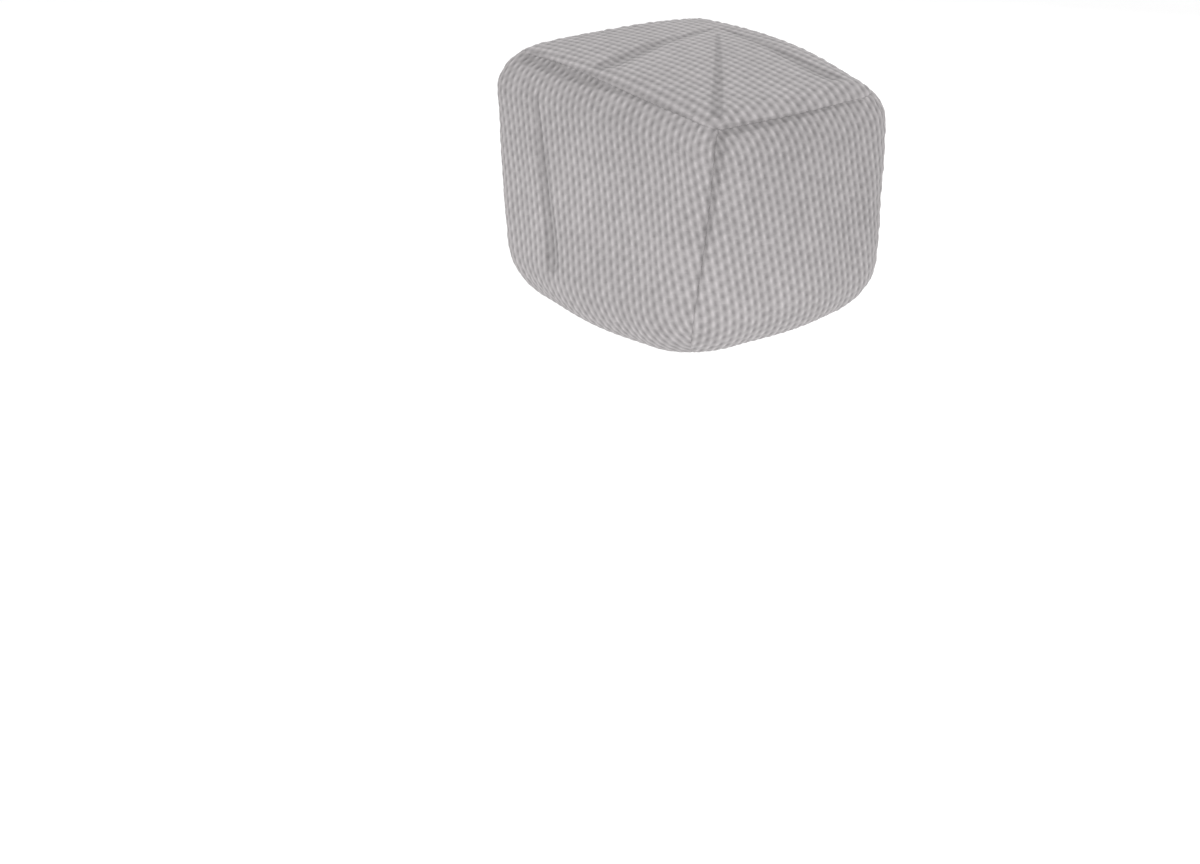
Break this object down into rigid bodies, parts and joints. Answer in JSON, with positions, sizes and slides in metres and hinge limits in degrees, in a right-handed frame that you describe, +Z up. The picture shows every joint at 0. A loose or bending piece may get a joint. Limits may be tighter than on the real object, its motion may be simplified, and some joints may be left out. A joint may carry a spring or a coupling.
{
  "type": "fitted boat engine cover",
  "caption": "Boxy grey woven cloth cover with soft rounded edges and a drawn-in lower edge, hollow and open below.",
  "frame": {"origin": "middle of the inner face of the top, where the covered head carries the cloth", "axes": "+X towards the aft end, along the length; +Y towards starboard; +Z up"},
  "size_m": [0.5057, 0.3364, 0.3277],
  "materials": {
    "top_cloth": "coarse plain weave, matt",
    "port_cloth": "coarse plain weave, matt",
    "aft_cloth": "coarse plain weave, matt",
    "starboard_cloth": "coarse plain weave, matt",
    "forward_cloth": "coarse plain weave, matt"
  },
  "bodies": {
    "root": {"top_panel": "top_cloth", "port_panel": "port_cloth", "aft_panel": "aft_cloth", "starboard_panel": "starboard_cloth", "forward_panel": "forward_cloth"}
  },
  "joints": []
}
